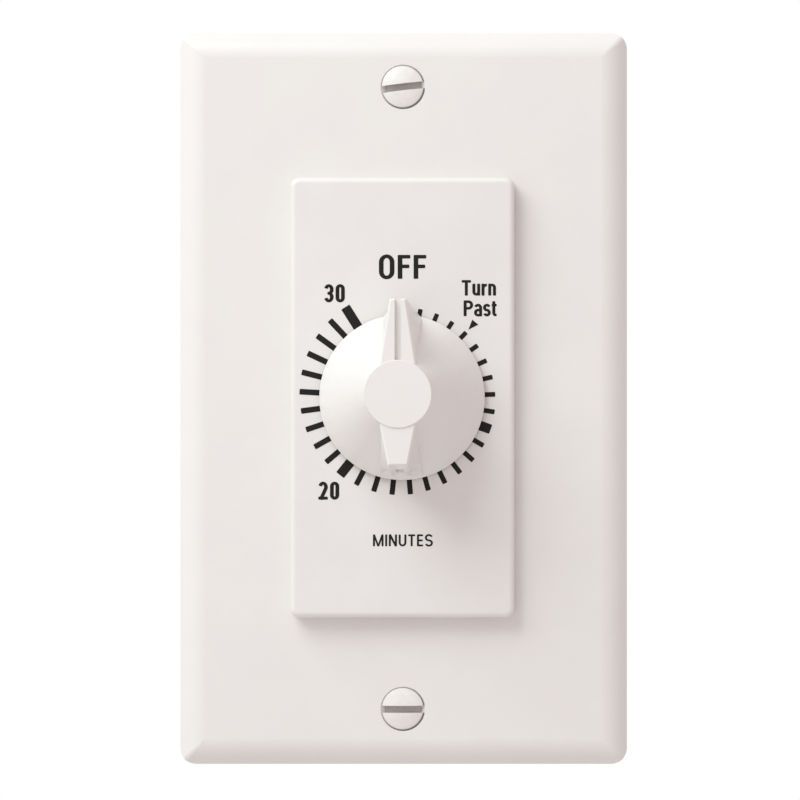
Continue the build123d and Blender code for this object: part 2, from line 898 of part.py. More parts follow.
# Mainspring: a flat strip that spirals out from the arbor's hub to an eye on its post
spring_front = great_back - pinion_overlap - hole_gap
eye_radius = spring_post_radius + running_gap
strip_start = spring_hub_radius + running_gap + spring_strip / 2
strip_end = spring_post_distance - eye_radius - spring_strip / 2
half_turns = 2 * spring_turns + 1
half_step = (strip_end - strip_start) / half_turns
spring_width = spring_front - second_wheel_front - collet_height - spring_gap
spiral_places = [
    [
        polar(strip_start + half_step * step / spring_steps + half_strip, 180 - 180 * step / spring_steps)
        for step in range(half_turns * spring_steps + 1)
    ]
    for half_strip in (spring_strip / 2, -spring_strip / 2)
]
with BuildPart() as mainspring:
    with BuildSketch(outward(0, 0, spring_front - spring_width, spring_post_angle)):
        Polygon(*spiral_places[0], *reversed(spiral_places[1]), align=None)
        with Locations((spring_post_distance, 0)):
            Circle(eye_radius + spring_strip)
            Circle(eye_radius, mode=Mode.SUBTRACT)
    extrude(amount=spring_width)
mainspring.part.label = "mainspring"
export_step(mainspring.part, "parts/mainspring.step")

# Ratchet wheel: each tooth rises slowly and ends in a steep face for the click
ratchet_pitch = 360 / ratchet_teeth
ratchet_outline = [
    place
    for tooth in range(ratchet_teeth)
    for place in (
        polar(ratchet_root, ratchet_turn + tooth * ratchet_pitch),
        polar(ratchet_tip, ratchet_turn + (tooth + 1) * ratchet_pitch),
    )
]
with BuildPart() as ratchet_wheel:
    with BuildSketch(facing(ratchet_back)):
        Polygon(*ratchet_outline, align=None)
        Circle(arbor_radius + running_gap, mode=Mode.SUBTRACT)
    extrude(amount=ratchet_thickness)
ratchet_wheel.part.label = "ratchet_wheel"
export_step(ratchet_wheel.part, "parts/ratchet_wheel.step")

# Great wheel: drives the train, and carries the click on its front face
click_place = polar(click_distance, ratchet_turn + click_turn)
spring_rivet_place = polar(click_rivet_distance, ratchet_turn - click_rivet_turn)
rivet_places = (click_place, spring_rivet_place)
with BuildPart() as great_wheel:
    with BuildSketch(facing(great_back)):
        Polygon(*gear_outline(wheel_teeth, great_module, wheel_shares, second_angle), align=None)
        Circle(arbor_radius + running_gap, mode=Mode.SUBTRACT)
        with Locations(*rivet_places):
            Circle(click_rivet_radius + running_gap, mode=Mode.SUBTRACT)
    extrude(amount=wheel_thickness)
great_wheel.part.label = "great_wheel"
export_step(great_wheel.part, "parts/great_wheel.step")

# Click: a pawl whose nose rests behind a ratchet tooth
click_back = great_front + face_gap
with BuildPart() as click:
    with BuildSketch(facing(click_back)):
        Polygon(
            polar(ratchet_root + click_gap, ratchet_turn + click_lead),
            polar(ratchet_tip + click_gap, ratchet_turn + ratchet_pitch),
            polar(click_distance - click_eye, ratchet_turn + click_turn),
            polar(click_distance, ratchet_turn + click_turn),
            polar(click_distance + click_gap, ratchet_turn + click_back_turn),
            polar(ratchet_tip + 2 * click_gap, ratchet_turn + click_lead),
            align=None,
        )
        with Locations(click_place):
            Circle(click_eye)
            Circle(click_rivet_radius + running_gap, mode=Mode.SUBTRACT)
    extrude(amount=click_thickness)
click.part.label = "click"
export_step(click.part, "parts/click.step")

# Click spring: a bent strip from its own rivet to the back of the click
strip_places = (
    spring_rivet_place,
    polar(click_spring_bend, ratchet_turn - click_rivet_turn / 2),
    polar(click_spring_touch, ratchet_turn + click_spring_lead),
    polar(click_spring_touch, ratchet_turn + 2 * click_spring_lead),
)
with BuildPart() as click_spring:
    with BuildSketch(facing(click_back)):
        with BuildLine():
            Polyline(*strip_places)
        trace(line_width=click_spring_strip)
        with Locations(spring_rivet_place):
            Circle(click_rivet_head)
            Circle(click_rivet_radius + running_gap, mode=Mode.SUBTRACT)
    extrude(amount=click_spring_width)
click_spring.part.label = "click_spring"
export_step(click_spring.part, "parts/click_spring.step")

# Click rivets: one is the click's pivot, and the other holds its spring
rivet_reach = wheel_thickness + face_gap
click_rivets = Compound(
    children=[
        turned(
            outward(*place, click_back),
            [
                (0, -rivet_reach),
                (click_rivet_radius, -rivet_reach),
                (click_rivet_radius, height + face_gap),
                (click_rivet_head, height + face_gap),
                (click_rivet_head, height + face_gap + click_rivet_rise),
                (0, height + face_gap + click_rivet_rise),
            ],
        )
        for place, height in zip(rivet_places, (click_thickness, click_spring_width))
    ]
)
click_rivets.label = "click_rivets"
export_step(click_rivets, "parts/click_rivets.step")


def pinion_arbor(place, radius, module, leaves_front, leaves_back, turn):
    """Steel arbor between the plates, turned and cut with its pinion in one piece."""
    shoulder = plate_spacing - 2 * end_shake
    with BuildPart() as piece:
        add(
            turned(
                outward(*place, rear_plate_front + end_shake),
                [
                    (0, -movement_plate),
                    (pivot_radius, -movement_plate),
                    (pivot_radius, 0),
                    (radius, 0),
                    (radius, shoulder),
                    (pivot_radius, shoulder),
                    (pivot_radius, shoulder + movement_plate),
                    (0, shoulder + movement_plate),
                ],
            )
        )
        with BuildSketch(outward(*place, leaves_back)):
            Polygon(*gear_outline(pinion_leaves, module, pinion_shares, turn), align=None)
        extrude(amount=leaves_front - leaves_back)
    return piece.part


def train_wheel(place, outline, front, bore, collet, hole_orbit, hole_radius):
    """Thin brass wheel with a collet on its front face and round holes that lighten it."""
    with BuildPart() as piece:
        with BuildSketch(outward(*place, front - train_wheel_thickness)):
            Polygon(*outline, align=None)
            with PolarLocations(hole_orbit, lightening_holes):
                Circle(hole_radius, mode=Mode.SUBTRACT)
        extrude(amount=train_wheel_thickness)
        with BuildSketch(outward(*place, front)):
            Circle(collet)
        extrude(amount=collet_height)
        with BuildSketch(outward(*place, front - train_wheel_thickness)):
            Circle(bore)
        extrude(amount=train_wheel_thickness + collet_height, mode=Mode.SUBTRACT)
    return piece.part


# Going train: each pinion has a gap on the line of centres where its wheel has a tooth
leaf_turn = 180 + 180 / pinion_leaves
second_tip = second_module * wheel_teeth / 2
third_tip = third_module * wheel_teeth / 2

second_pinion = pinion_arbor(
    second_place,
    second_arbor_radius,
    great_module,
    great_front + pinion_overlap,
    great_back - pinion_overlap,
    second_angle + leaf_turn,
)
second_pinion.label = "second_pinion"
export_step(second_pinion, "parts/second_pinion.step")

second_wheel = train_wheel(
    second_place,
    gear_outline(wheel_teeth, second_module, wheel_shares, third_angle),
    second_wheel_front,
    second_arbor_radius + press_gap,
    collet_radius,
    second_tip * hole_orbit_share,
    second_tip * hole_radius_share,
)
second_wheel.label = "second_wheel"
export_step(second_wheel, "parts/second_wheel.step")

third_pinion = pinion_arbor(
    third_place,
    third_arbor_radius,
    second_module,
    second_wheel_front + pinion_overlap,
    second_wheel_front - train_wheel_thickness - pinion_overlap,
    third_angle + leaf_turn,
)
third_pinion.label = "third_pinion"
export_step(third_pinion, "parts/third_pinion.step")

third_wheel = train_wheel(
    third_place,
    gear_outline(wheel_teeth, third_module, wheel_shares, escape_angle),
    third_wheel_front,
    third_arbor_radius + press_gap,
    collet_radius,
    third_tip * hole_orbit_share,
    third_tip * hole_radius_share,
)
third_wheel.label = "third_wheel"
export_step(third_wheel, "parts/third_wheel.step")

escape_pinion = pinion_arbor(
    escape_place,
    escape_arbor_radius,
    third_module,
    third_wheel_front + pinion_overlap,
    third_wheel_front - train_wheel_thickness - pinion_overlap,
    escape_angle + leaf_turn,
)
escape_pinion.label = "escape_pinion"
export_step(escape_pinion, "parts/escape_pinion.step")

# Escape wheel: slender pointed teeth, one of them on the line to the verge
escape_front = front_plate_back - escape_drop
escape_outline = toothed(
    escape_teeth, escape_root, escape_radius, escape_root_share, escape_tip_share, verge_angle
)
with BuildPart() as escape_wheel:
    with BuildSketch(outward(*escape_place, escape_front - train_wheel_thickness)):
        Polygon(*escape_outline, align=None)
        Circle(escape_arbor_radius + press_gap, mode=Mode.SUBTRACT)
    extrude(amount=train_wheel_thickness)
    with BuildSketch(outward(*escape_place, escape_front)):
        Circle(verge_hub_radius)
        Circle(escape_arbor_radius + press_gap, mode=Mode.SUBTRACT)
    extrude(amount=collet_height)
escape_wheel.part.label = "escape_wheel"
export_step(escape_wheel.part, "parts/escape_wheel.step")

# Verge: an arm with two pins that stand just outside the escape wheel's points at mid swing
verge_front = front_plate_back - verge_drop
pin_orbit = escape_radius + verge_pin_radius + verge_pin_clear
pin_x = verge_distance - pin_orbit * cos(radians(verge_pin_angle))
pin_y = pin_orbit * sin(radians(verge_pin_angle))
verge_turn = verge_angle + 180
with BuildPart() as verge_arm:
    with BuildSketch(outward(*verge_place, verge_front - verge_thickness, verge_turn)):
        with BuildLine():
            Polyline((pin_x, pin_y), (0, 0), (pin_x, -pin_y))
        trace(line_width=2 * verge_pad_radius)
        Circle(verge_hub_radius)
        with Locations((pin_x, pin_y), (pin_x, -pin_y)):
            Circle(verge_pad_radius)
            Circle(verge_pin_radius + press_gap, mode=Mode.SUBTRACT)
        Circle(verge_staff_radius + press_gap, mode=Mode.SUBTRACT)
    extrude(amount=verge_thickness)
verge_arm.part.label = "verge_arm"
export_step(verge_arm.part, "parts/verge_arm.step")

with BuildPart() as verge_pins:
    with BuildSketch(outward(*verge_place, verge_front - verge_thickness, verge_turn)):
        with Locations((pin_x, pin_y), (pin_x, -pin_y)):
            Circle(verge_pin_radius)
    extrude(amount=escape_front - verge_front + verge_thickness + verge_pin_radius)
verge_pins.part.label = "verge_pins"
export_step(verge_pins.part, "parts/verge_pins.step")

staff_length = plate_spacing - 2 * end_shake
verge_staff = turned(
    outward(*verge_place, rear_plate_front + end_shake),
    [
        (0, -movement_plate),
        (verge_pivot_radius, -movement_plate),
        (verge_pivot_radius, 0),
        (verge_staff_radius, 0),
        (verge_staff_radius, staff_length),
        (verge_pivot_radius, staff_length),
        (verge_pivot_radius, staff_length + movement_plate),
        (0, staff_length + movement_plate),
    ],
)
verge_staff.label = "verge_staff"
export_step(verge_staff, "parts/verge_staff.step")

# Balance bar: a strip on the verge's staff with a round weight at each end
with BuildPart() as balance_bar:
    with BuildSketch(outward(*verge_place, front_plate_back - bar_drop - bar_thickness)):
        Rectangle(bar_width, bar_length)
        with Locations((0, bar_length / 2), (0, -bar_length / 2)):
            Circle(bar_weight_radius)
        Circle(verge_hub_radius)
        Circle(verge_staff_radius + press_gap, mode=Mode.SUBTRACT)
    extrude(amount=bar_thickness)
balance_bar.part.label = "balance_bar"
export_step(balance_bar.part, "parts/balance_bar.step")

# Switch cam: a moulded disc on the arbor's rear flat, with a notch that is on top at OFF
cam_back = cam_front - cam_thickness
cam_bore = rear_journal_radius + running_gap
with BuildPart() as switch_cam:
    with BuildSketch(facing(cam_back)):
        Circle(cam_radius)
        Polygon(
            (0, cam_radius - cam_notch_depth),
            (cam_notch_width / 2, cam_radius),
            (cam_notch_width / 2, cam_radius + overrun),
            (-cam_notch_width / 2, cam_radius + overrun),
            (-cam_notch_width / 2, cam_radius),
            align=None,
            mode=Mode.SUBTRACT,
        )
    extrude(amount=cam_thickness)
    with BuildSketch(facing(arbor_end)):
        Circle(cam_boss_radius)
    extrude(amount=cam_back - arbor_end)
    with BuildSketch(facing(arbor_end)):
        Circle(cam_bore)
        with Locations((0, rear_flat + running_gap)):
            Rectangle(2 * cam_bore, 2 * cam_bore, align=(Align.CENTER, Align.MAX), mode=Mode.INTERSECT)
    extrude(amount=cam_front - arbor_end, mode=Mode.SUBTRACT)
switch_cam.part.label = "switch_cam"
export_step(switch_cam.part, "parts/switch_cam.step")

# Moving blade: springs from the contact block, and its nose rests in the cam's notch
blade_back = cam_front - (cam_thickness + blade_width) / 2
blade_middle = blade_back + blade_width / 2
blade_start = block_x - block_width / 2
blade_top = blade_height + blade_thickness / 2
with BuildPart() as moving_blade:
    with BuildSketch(facing(blade_back)):
        Polygon(
            (blade_start, block_top),
            (-nose_width / 2, block_top),
            (0, block_top - nose_drop),
            (nose_width / 2, block_top),
            (blade_tip_x, block_top),
            (blade_tip_x, blade_top),
            (nose_width / 2 - blade_thickness / 2, blade_top),
            (0, blade_top - nose_drop + blade_thickness / 2),
            (-nose_width / 2 + blade_thickness / 2, blade_top),
            (blade_start, blade_top),
            align=None,
        )
    extrude(amount=blade_width)
    with BuildSketch(Plane(origin=(block_x, -blade_middle, block_top), z_dir=(0, 0, 1))):
        Circle(blade_screw_radius + running_gap)
    extrude(amount=blade_thickness, mode=Mode.SUBTRACT)
moving_blade.part.label = "moving_blade"
export_step(moving_blade.part, "parts/moving_blade.step")

# Contact buttons: silver discs that face each other across the open gap
fixed_foot = blade_top + contact_thickness + contact_gap
for contact_name, foot in (("moving_contact", blade_top), ("fixed_contact", fixed_foot)):
    with BuildPart() as contact:
        with BuildSketch(Plane(origin=(contact_x, -blade_middle, foot), z_dir=(0, 0, 1))):
            Circle(contact_radius)
        extrude(amount=contact_thickness)
    contact.part.label = contact_name
    export_step(contact.part, f"parts/{contact_name}.step")

# Contact block: insulates the blade, and is screwed to the rear movement plate
block_back = rear_plate_back - block_depth
with BuildPart() as contact_block:
    with BuildSketch(facing(block_back)):
        with Locations((block_x, block_top)):
            Rectangle(block_width, block_height, align=(Align.CENTER, Align.MAX))
        with Locations(*block_screw_places):
            Circle(block_screw_radius + thread_gap, mode=Mode.SUBTRACT)
    extrude(amount=block_depth)
    with BuildSketch(Plane(origin=(block_x, -blade_middle, block_top), z_dir=(0, 0, 1))):
        Circle(blade_screw_radius + thread_gap)
    extrude(amount=-blade_screw_depth, mode=Mode.SUBTRACT)
contact_block.part.label = "contact_block"
export_step(contact_block.part, "parts/contact_block.step")

block_screws = Compound(
    children=[
        pan_screw(
            Plane(origin=(x, -block_back, z), x_dir=(1, 0, 0), z_dir=(0, 1, 0)),
            block_depth + movement_plate,
            block_screw_radius,
            block_screw_head,
            block_screw_side,
            block_screw_crown,
        )
        for x, z in block_screw_places
    ]
)
block_screws.label = "block_screws"
export_step(block_screws, "parts/block_screws.step")

# Terminals: a tongue goes through the case's side to a pad with a binding screw outside
wall_outside = case_width / 2 + running_gap
line_tongue_foot = blade_top
load_tongue_foot = fixed_foot + contact_thickness
blade_screw_top = line_tongue_foot + terminal_thickness
terminal_sides = (
    ("line_terminal", -1, line_tongue_foot, -block_x - block_width / 2),
    ("load_terminal", 1, load_tongue_foot, contact_x - contact_radius),
)
pad_places = []
for terminal_name, side, foot, inner_x in terminal_sides:
    pad_places.append((side, foot + pad_height / 2 + terminal_thickness / 2))
    with BuildPart() as terminal:
        with BuildSketch(facing(blade_middle - terminal_width / 2)):
            Polygon(
                (side * inner_x, foot),
                (side * wall_outside, foot),
                (side * wall_outside, foot + terminal_thickness),
                (side * inner_x, foot + terminal_thickness),
                align=None,
            )
        extrude(amount=terminal_width)
        with BuildSketch(facing(blade_middle - pad_width / 2)):
            Polygon(
                (side * wall_outside, foot),
                (side * (wall_outside + terminal_thickness), foot),
                (side * (wall_outside + terminal_thickness), foot + pad_height),
                (side * wall_outside, foot + pad_height),
                align=None,
            )
        extrude(amount=pad_width)
        pad_place = (side * wall_outside, -blade_middle, pad_places[-1][1])
        with BuildSketch(Plane(origin=pad_place, x_dir=(0, 1, 0), z_dir=(side, 0, 0))):
            Circle(terminal_screw_radius + thread_gap)
        extrude(amount=terminal_thickness, mode=Mode.SUBTRACT)
        if side < 0:
            with BuildSketch(Plane(origin=(block_x, -blade_middle, foot), z_dir=(0, 0, 1))):
                Circle(blade_screw_radius + running_gap)
            extrude(amount=terminal_thickness, mode=Mode.SUBTRACT)
    terminal.part.label = terminal_name
    export_step(terminal.part, f"parts/{terminal_name}.step")

# Blade screw: clamps the line terminal and the moving blade on the contact block
blade_screw = pan_screw(
    Plane(origin=(block_x, -blade_middle, blade_screw_top), x_dir=(1, 0, 0), z_dir=(0, 0, 1)),
    terminal_thickness + blade_thickness + blade_screw_depth - face_gap,
    blade_screw_radius,
    blade_screw_head,
    blade_screw_side,
    blade_screw_crown,
)
blade_screw.label = "blade_screw"
export_step(blade_screw, "parts/blade_screw.step")

# Terminal screws: brass binding screws in the pads, ready for the house wires
pad_outside = wall_outside + terminal_thickness + face_gap
screw_reach = terminal_thickness + face_gap + case_wall - running_gap
terminal_screws = Compound(
    children=[
        slotted_screw(
            Plane(origin=(side * pad_outside, -blade_middle, z), x_dir=(0, 1, 0), z_dir=(side, 0, 0)),
            [
                (0, -screw_reach),
                (terminal_screw_radius, -screw_reach),
                (terminal_screw_radius, 0),
                (terminal_screw_head, 0),
                (terminal_screw_head, terminal_screw_side),
            ],
            terminal_screw_crown,
            terminal_driver_width,
            terminal_driver_depth,
        )
        for side, z in pad_places
    ]
)
terminal_screws.label = "terminal_screws"
export_step(terminal_screws, "parts/terminal_screws.step")

# Rear case: a moulded box with corner posts for the movement and a lug at each end for the strap
lug_middle = (case_height + lug_height) / 2
inner_width = case_width - 2 * case_wall
inner_height = case_height - 2 * case_wall
with BuildPart() as rear_case:
    with BuildSketch(facing(-case_depth)):
        RectangleRounded(case_width, case_height, case_corner)
    extrude(amount=case_depth)
    chamfer(rear_case.faces().sort_by(Axis.Y)[-1].edges(), length=case_back_edge)
    with BuildSketch(facing(-lug_thickness)) as lugs:
        with Locations((0, lug_middle), (0, -lug_middle)):
            Rectangle(lug_width, lug_height)
        lug_rows = lugs.vertices().group_by(Axis.Y)
        fillet(lug_rows[0] + lug_rows[-1], radius=lug_corner)
    extrude(amount=lug_thickness)
    with BuildSketch(facing(case_floor)):
        RectangleRounded(inner_width, inner_height, case_corner - case_wall)
    extrude(amount=-case_floor, mode=Mode.SUBTRACT)
    with BuildSketch(facing(case_floor)):
        with Locations(*screw_places):
            Circle(post_radius)
    extrude(amount=front_plate_back - case_floor)
    post_hole_depth = movement_screw_length - movement_plate + face_gap
    with BuildSketch(facing(front_plate_back)):
        with Locations(*screw_places):
            Circle(movement_screw_radius + thread_gap)
    extrude(amount=-post_hole_depth, mode=Mode.SUBTRACT)
    with BuildSketch(facing(-lug_thickness)):
        with Locations(*corner_places(case_screw_x, case_screw_z)):
            Circle(case_screw_radius + thread_gap)
    extrude(amount=lug_thickness, mode=Mode.SUBTRACT)
    for (_, side, foot, _), (_, pad_z) in zip(terminal_sides, pad_places):
        wall_middle = side * (case_width - case_wall) / 2
        with BuildSketch(facing(blade_middle - terminal_width / 2 - moulding_gap)):
            with Locations((wall_middle, foot + terminal_thickness / 2)):
                Rectangle(case_wall + overrun, terminal_thickness + 2 * moulding_gap)
        extrude(amount=terminal_width + 2 * moulding_gap, mode=Mode.SUBTRACT)
        hole_place = (wall_middle, -blade_middle, pad_z)
        with BuildSketch(Plane(origin=hole_place, x_dir=(0, 1, 0), z_dir=(1, 0, 0))):
            Circle(terminal_screw_radius + hole_gap)
        extrude(amount=(case_wall + overrun) / 2, both=True, mode=Mode.SUBTRACT)
rear_case.part.label = "rear_case"
export_step(rear_case.part, "parts/rear_case.step")

# Case screws: hold the strap on the case's lugs
case_screws = Compound(
    children=[
        pan_screw(
            outward(*place, strap_thickness + face_gap),
            strap_thickness + face_gap + lug_thickness,
            case_screw_radius,
            case_screw_head,
            case_screw_side,
            case_screw_crown,
        )
        for place in corner_places(case_screw_x, case_screw_z)
    ]
)
case_screws.label = "case_screws"
export_step(case_screws, "parts/case_screws.step")
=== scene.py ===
from math import cos, pi, radians, sin

import bmesh
import bpy
from mathutils import Matrix, Vector


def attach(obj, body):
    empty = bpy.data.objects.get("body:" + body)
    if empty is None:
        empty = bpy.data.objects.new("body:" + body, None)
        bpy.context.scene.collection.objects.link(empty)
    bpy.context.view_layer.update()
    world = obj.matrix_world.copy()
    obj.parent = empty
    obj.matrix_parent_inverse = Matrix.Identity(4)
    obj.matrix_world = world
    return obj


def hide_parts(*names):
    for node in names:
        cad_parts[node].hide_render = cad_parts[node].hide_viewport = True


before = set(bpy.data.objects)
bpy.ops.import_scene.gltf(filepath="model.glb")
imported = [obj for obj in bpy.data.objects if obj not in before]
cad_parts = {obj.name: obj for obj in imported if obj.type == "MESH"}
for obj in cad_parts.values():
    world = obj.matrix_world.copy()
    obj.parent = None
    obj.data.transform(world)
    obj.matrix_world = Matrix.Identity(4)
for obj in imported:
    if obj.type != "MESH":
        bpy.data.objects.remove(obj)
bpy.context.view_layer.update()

# Wall plate: a moulded cover of warm white thermoplastic. The mould was polished, so the surface is
# an even satin, with the faintest mottling and a very fine texture under the light.
mm = 0.001
noise_low_share = 0.3
noise_high_share = 0.7
mottle_rough_share = 0.55
fine_detail = 2.0


def linear(colour):
    """An sRGB hex colour as linear red, green, blue and alpha."""
    shares = [int(colour[start:start + 2], 16) / 255 for start in (1, 3, 5)]
    return [s / 12.92 if s <= 0.04045 else ((s + 0.055) / 1.055) ** 2.4 for s in shares] + [1]


def add_node(tree, kind, inputs=None, links=None, **settings):
    """A node with its settings, the values on its sockets, and the sockets that feed it."""
    node = tree.nodes.new(kind)
    for setting, value in settings.items():
        setattr(node, setting, value)
    for socket, value in (inputs or {}).items():
        node.inputs[socket].default_value = value
    for socket, source in (links or {}).items():
        tree.links.new(source, node.inputs[socket])
    return node


def new_material(name, **sockets):
    """A material with its shader's constant sockets set, and the object's own coordinates."""
    material = bpy.data.materials.new(name)
    material.use_nodes = True
    tree = material.node_tree
    shader = tree.nodes["Principled BSDF"]
    for socket, value in sockets.items():
        shader.inputs[socket.replace("_", " ")].default_value = value
    place = add_node(tree, "ShaderNodeTexCoord").outputs["Object"]
    return material, tree, shader, place


def mottle(tree, place, size, colours, detail=3.0, stretch=(1, 1, 1)):
    """Soft patches of this size that wander between two colours."""
    spread = add_node(tree, "ShaderNodeMapping", {"Scale": stretch}, {"Vector": place})
    noise = add_node(
        tree,
        "ShaderNodeTexNoise",
        {"Scale": 1 / size, "Detail": detail, "Roughness": mottle_rough_share},
        {"Vector": spread.outputs[0]},
    )
    ramp = add_node(tree, "ShaderNodeValToRGB", links={"Fac": noise.outputs["Fac"]})
    positions = (noise_low_share, noise_high_share)
    for stop, position, colour in zip(ramp.color_ramp.elements, positions, colours):
        stop.position = position
        stop.color = linear(colour)
    return ramp.outputs["Color"]


def roughened(tree, place, size, least, most, stretch=(1, 1, 1)):
    """Roughness that wanders between two values in patches of this size."""
    spread = add_node(tree, "ShaderNodeMapping", {"Scale": stretch}, {"Vector": place})
    noise = add_node(
        tree,
        "ShaderNodeTexNoise",
        {"Scale": 1 / size, "Detail": fine_detail},
        {"Vector": spread.outputs[0]},
    )
    span = add_node(
        tree,
        "ShaderNodeMapRange",
        {
            "From Min": noise_low_share,
            "From Max": noise_high_share,
            "To Min": least,
            "To Max": most,
        },
        {"Value": noise.outputs["Fac"]},
    )
    return span.outputs["Result"]


def grain(tree, place, size, height, stretch=(1, 1, 1)):
    """Fine relief of this size and height."""
    spread = add_node(tree, "ShaderNodeMapping", {"Scale": stretch}, {"Vector": place})
    noise = add_node(
        tree,
        "ShaderNodeTexNoise",
        {"Scale": 1 / size, "Detail": fine_detail},
        {"Vector": spread.outputs[0]},
    )
    bump = add_node(
        tree,
        "ShaderNodeBump",
        {"Strength": 1.0, "Distance": height},
        {"Height": noise.outputs["Fac"]},
    )
    return bump.outputs["Normal"]


def finish_with(tree, shader, colour, roughness=None, normal=None):
    """Joins a finish's patterns to its shader."""
    for socket, source in (("Base Color", colour), ("Roughness", roughness), ("Normal", normal)):
        if source:
            tree.links.new(source, shader.inputs[socket])


def dress(node, material):
    """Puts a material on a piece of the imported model."""
    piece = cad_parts[node]
    piece.data.materials.clear()
    piece.data.materials.append(material)


def moulded_white(name, colours, least, most):
    """Warm white thermoplastic out of a polished mould: even and satin, with a very fine grain."""
    material, tree, shader, place = new_material(name, IOR=1.49, Specular_IOR_Level=0.5)
    colour = mottle(tree, place, 9 * mm, colours, detail=4.0)
    roughness = roughened(tree, place, 6 * mm, least, most)
    normal = grain(tree, place, 0.5 * mm, height=0.004 * mm)
    finish_with(tree, shader, colour, roughness, normal)
    return material


plate_whites = ("#E7E2DF", "#E9E5E1")
dress(
    "wall_plate",
    moulded_white("satin_white_thermoplastic", plate_whites, least=0.34, most=0.4),
)

# Plate screws: oval-head steel screws, enamelled to match the plate. The slot and a ring round the
# rim of the head are darkened with painted shade, the ring broadest at the lower right, where the
# head's shadow falls. Behind the head the shank is bare zinc-plated steel.
screw_level = 48.42 * mm
# Where painted shade goes: a ring round the head's rim, and the slot, which gets darker with depth.
shade_ring_inside = 3.12 * mm
shade_ring_outside = 3.34 * mm
shade_ring_lean = 0.1 * mm
slot_lip = -5.9 * mm
slot_floor = -5.45 * mm
slot_shade_share = 0.5
shank_start = -4.1 * mm
shank_bare = -4.0 * mm
# The colour sockets of a Mix node go by number, because its other kinds share their names.
mix_factor, mix_first, mix_second, mix_result = 0, 6, 7, 2

for node, level in (("plate_screw_top", screw_level), ("plate_screw_bottom", -screw_level)):
    enamel, tree, shader, place = new_material(f"white_enamel_{node}", IOR=1.5, Coat_Weight=0.3)
    # The ring of painted shade has its middle moved to the upper left, so it is broadest at the
    # lower right.
    centred = add_node(
        tree,
        "ShaderNodeMapping",
        {"Location": (shade_ring_lean, 0, -level - shade_ring_lean)},
        {"Vector": place},
    )
    flat = add_node(
        tree,
        "ShaderNodeVectorMath",
        {1: (1, 0, 1)},
        {0: centred.outputs[0]},
        operation="MULTIPLY",
    )
    reach = add_node(tree, "ShaderNodeVectorMath", links={0: flat.outputs[0]}, operation="LENGTH")
    rim_shade = add_node(
        tree,
        "ShaderNodeMapRange",
        {"From Min": shade_ring_inside, "From Max": shade_ring_outside},
        {"Value": reach.outputs["Value"]},
    )
    depth = add_node(tree, "ShaderNodeSeparateXYZ", links={0: place})
    # Painted shade in the slot: darker with depth, where the upper lip's shadow falls on the floor.
    slot_shade = add_node(
        tree,
        "ShaderNodeMapRange",
        {"From Min": slot_lip, "From Max": slot_floor, "To Max": slot_shade_share},
        {"Value": depth.outputs["Y"]},
    )
    # The ring and the slot together make the painted shade.
    painted_shade = add_node(
        tree,
        "ShaderNodeMath",
        links={0: rim_shade.outputs[0], 1: slot_shade.outputs[0]},
        operation="MAXIMUM",
    )
    paint = mottle(tree, place, 1.5 * mm, ("#E4DFDB", "#ECE8E4"))
    # The grey is the colour of the painted shade, mixed over the enamel.
    shaded_paint = add_node(
        tree,
        "ShaderNodeMix",
        {mix_second: linear("#645B58")},
        {mix_factor: painted_shade.outputs[0], mix_first: paint},
        data_type="RGBA",
    )
    shank = add_node(
        tree,
        "ShaderNodeMapRange",
        {"From Min": shank_start, "From Max": shank_bare},
        {"Value": depth.outputs["Y"]},
    )
    colour = add_node(
        tree,
        "ShaderNodeMix",
        {mix_second: linear("#BDBFBF")},
        {mix_factor: shank.outputs[0], mix_first: shaded_paint.outputs[mix_result]},
        data_type="RGBA",
    )
    tree.links.new(shank.outputs[0], shader.inputs["Metallic"])
    finish_with(
        tree,
        shader,
        colour.outputs[mix_result],
        roughened(tree, place, 1 * mm, least=0.24, most=0.34),
        grain(tree, place, 0.4 * mm, height=0.006 * mm),
    )
    dress(node, enamel)

# Mounting strap and the movement's two plates: blanked from zinc-plated sheet steel, a dull silver
# with soft cloudy grain that runs along the strip it was rolled in.
zinc, tree, shader, place = new_material("zinc_plated_sheet", Metallic=1.0)
finish_with(
    tree,
    shader,
    mottle(tree, place, 4 * mm, ("#A9ABAA", "#C3C5C3"), detail=5.0, stretch=(1, 1, 0.35)),
    roughened(tree, place, 2.5 * mm, least=0.32, most=0.48, stretch=(1, 1, 0.4)),
    grain(tree, place, 0.3 * mm, height=0.004 * mm, stretch=(1, 1, 0.1)),
)
for node in ("mounting_strap", "front_movement_plate", "rear_movement_plate"):
    dress(node, zinc)

# Small steel screws: they hold the strap to the case, the movement in the case, and the contact
# block and its blade in place. They are zinc plated, and brighter than the sheet.
plated, tree, shader, place = new_material("zinc_plated_screw", Metallic=1.0)
finish_with(
    tree,
    shader,
    mottle(tree, place, 0.8 * mm, ("#B0B2B3", "#CDCFCE")),
    roughened(tree, place, 0.6 * mm, least=0.22, most=0.36),
    grain(tree, place, 0.25 * mm, height=0.004 * mm),
)
for node in ("case_screws", "movement_screws", "block_screws", "blade_screw"):
    dress(node, plated)

# Box screws: the two long zinc-plated machine screws that hold the strap to the wall box, with the
# thread cut all along the shank. A V groove is wound round each shank and cut from it, and turned a
# few degrees off the shank's own facets, so that the cut leaves no slivers along their edges.
box_screw_level = 41.67 * mm
box_shank_radius = 1.75 * mm
box_thread_start = 0.5 * mm
box_thread_end = 20.8 * mm
thread_pitch = 0.8 * mm
thread_depth = 0.36 * mm
thread_half_width = 0.36 * mm
thread_over = 0.06 * mm
turn_steps = 18
groove_turn = radians(7.3)
merge_gap = 0.0005 * mm
sharp_angle = radians(35)

